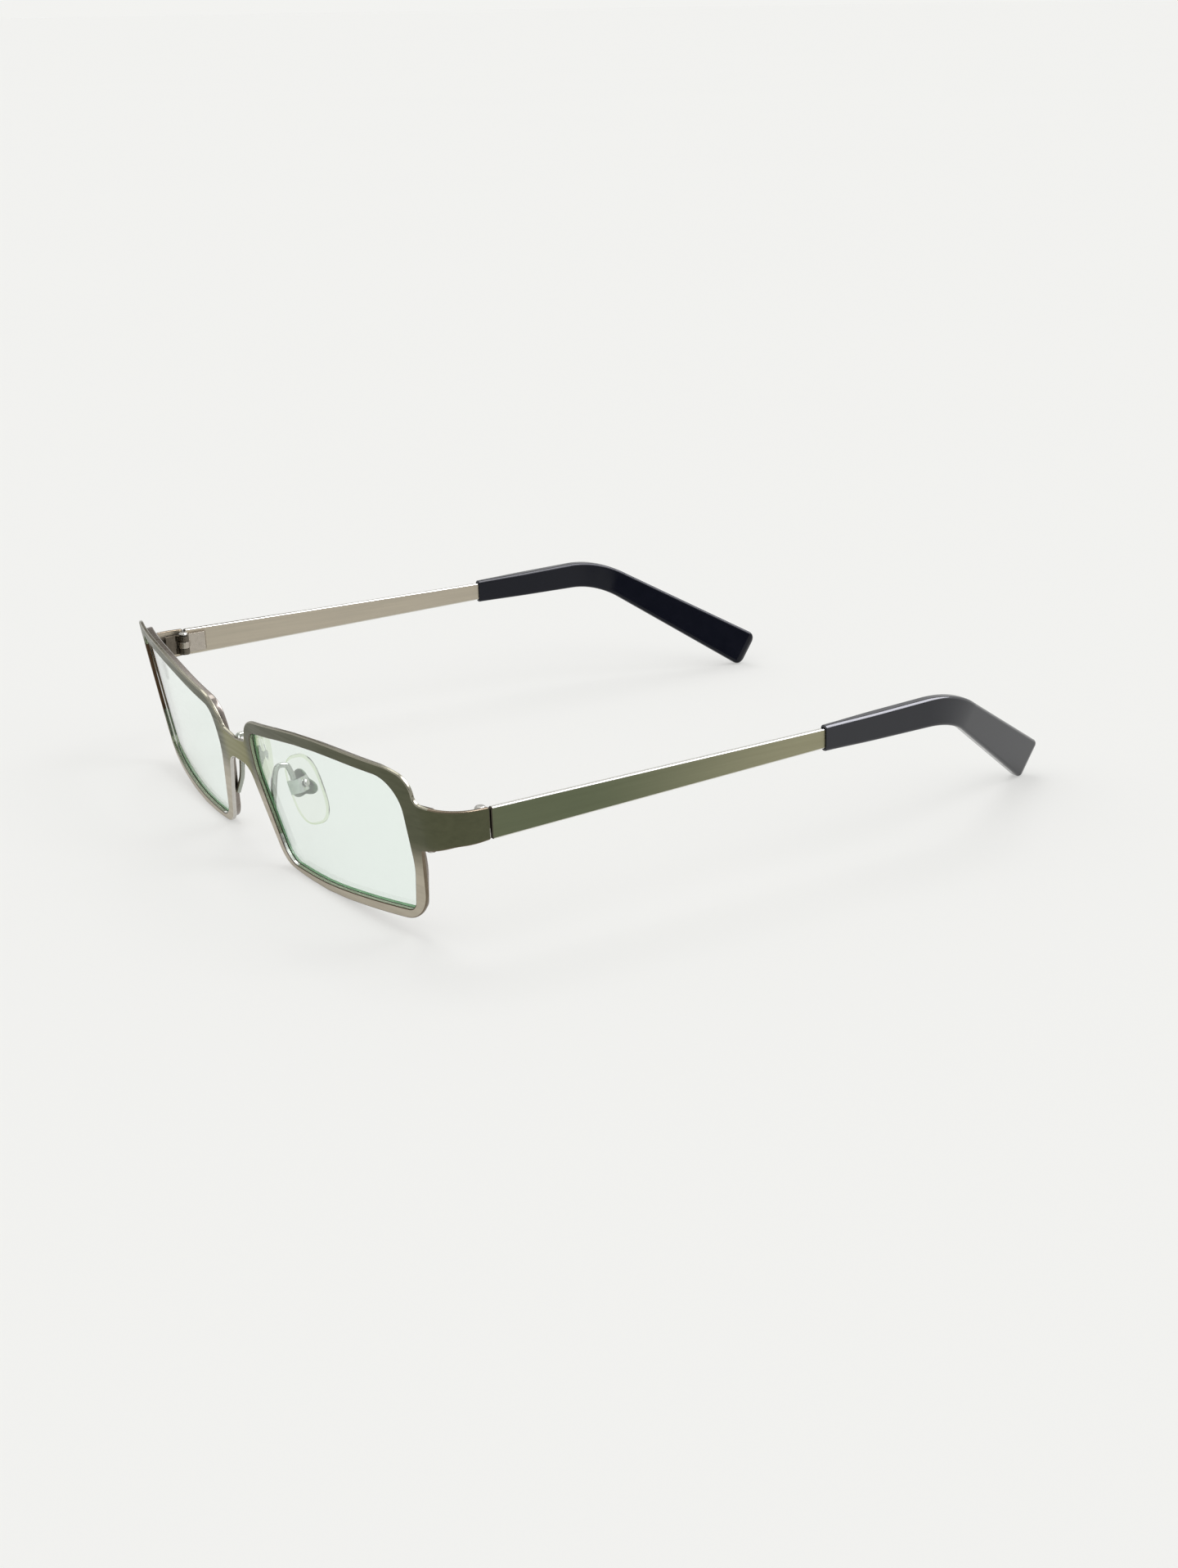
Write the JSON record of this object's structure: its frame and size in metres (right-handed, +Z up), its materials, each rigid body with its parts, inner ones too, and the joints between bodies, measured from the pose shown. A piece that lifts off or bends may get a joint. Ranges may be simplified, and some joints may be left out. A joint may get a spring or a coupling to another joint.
{
  "type": "eyeglasses",
  "caption": "Rectangular metal eyeglasses with pale green tinted lenses, folding flat temples, black plastic tips and rocking nose pads.",
  "frame": {"origin": "middle of the glasses seen from above, on the surface that the rims and the temple tips rest on", "axes": "+X to the wearer's left, +Y from the lenses back along the temples, +Z up"},
  "size_m": [0.1306, 0.1494, 0.0305],
  "materials": {
    "gunmetal": "brushed olive gunmetal with polished cut edges",
    "bright_steel": "polished",
    "screw_steel": "turned",
    "mint_lens": "clear, pale green tint",
    "clear_pad": "clear silicone",
    "black_plastic": "gloss"
  },
  "bodies": {
    "root": {"front_plate": "gunmetal", "left_eyewire": "bright_steel", "left_lens": "mint_lens", "left_lower_closing_block": "bright_steel", "left_upper_closing_block": "bright_steel", "left_closing_screw": "screw_steel", "left_pad_arm": "bright_steel", "left_pad_box": "bright_steel", "left_pad_screw": "screw_steel", "left_hinge_front_leaf": "bright_steel", "left_hinge_screw": "screw_steel", "right_eyewire": "bright_steel", "right_lens": "mint_lens", "right_lower_closing_block": "bright_steel", "right_upper_closing_block": "bright_steel", "right_closing_screw": "screw_steel", "right_pad_arm": "bright_steel", "right_pad_box": "bright_steel", "right_pad_screw": "screw_steel", "right_hinge_front_leaf": "bright_steel", "right_hinge_screw": "screw_steel"},
    "left_temple": {"left_temple_bar": "gunmetal", "left_temple_tip": "black_plastic", "left_hinge_temple_leaf": "bright_steel"},
    "right_temple": {"right_temple_bar": "gunmetal", "right_temple_tip": "black_plastic", "right_hinge_temple_leaf": "bright_steel"},
    "left_pad": {"left_nose_pad": "clear_pad"},
    "right_pad": {"right_nose_pad": "clear_pad"}
  },
  "joints": [
    {"name": "left_temple_fold", "type": "hinge", "parent": "root", "child": "left_temple", "pos_m": [0.06308, -0.0574, 0.02142], "axis": [-0.0049, -0.0178, 0.9998], "range_deg": [0, 86]},
    {"name": "right_temple_fold", "type": "hinge", "parent": "root", "child": "right_temple", "pos_m": [-0.06308, -0.0574, 0.02142], "axis": [-0.0049, 0.0178, -0.9998], "range_deg": [0, 75]},
    {"name": "left_pad_rock", "type": "hinge", "parent": "root", "child": "left_pad", "pos_m": [0.0101, -0.06451, 0.01403], "axis": [0.7969, 0.5075, 0.3276], "range_deg": [-8, 8]},
    {"name": "right_pad_rock", "type": "hinge", "parent": "root", "child": "right_pad", "pos_m": [-0.0101, -0.06451, 0.01403], "axis": [-0.7969, 0.5075, 0.3276], "range_deg": [-8, 8]}
  ]
}
